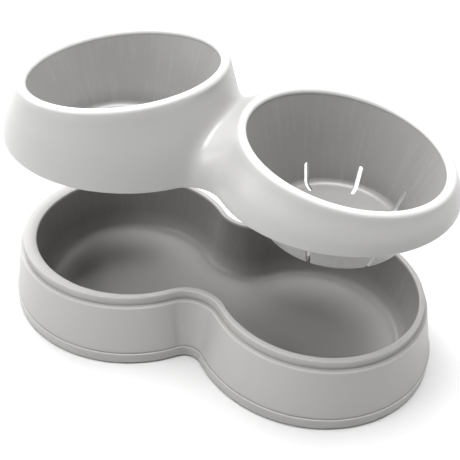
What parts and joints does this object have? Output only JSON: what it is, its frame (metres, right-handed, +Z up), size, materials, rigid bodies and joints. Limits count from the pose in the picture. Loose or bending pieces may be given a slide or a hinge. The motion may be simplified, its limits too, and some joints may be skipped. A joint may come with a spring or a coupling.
{
  "type": "double pet bowl",
  "caption": "Double pet bowl: a figure-eight reservoir tray and a lift-off top with a raised closed bowl and a lower slotted bowl.",
  "frame": {"origin": "on the floor, under the middle of the tray's outline", "axes": "+Z up; +X along the figure-eight towards the slotted bowl; +Y to the back"},
  "size_m": [0.378, 0.2062, 0.2303],
  "materials": {
    "tray_plastic": "satin moulded, warm light grey",
    "top_plastic": "semi-gloss moulded, pale grey-white",
    "foot_rubber": "matt"
  },
  "bodies": {
    "tray": {"reservoir_tray": "tray_plastic", "foot_front_left": "foot_rubber", "foot_front_right": "foot_rubber", "foot_back_left": "foot_rubber", "foot_back_right": "foot_rubber", "foot_middle_left": "foot_rubber", "foot_middle_right": "foot_rubber"},
    "top": {"bowl_top": "top_plastic"}
  },
  "joints": [
    {"name": "top_lift", "type": "slide", "parent": "tray", "child": "top", "axis": [0, 0, 1], "range_m": [-0.112, 0]}
  ]
}
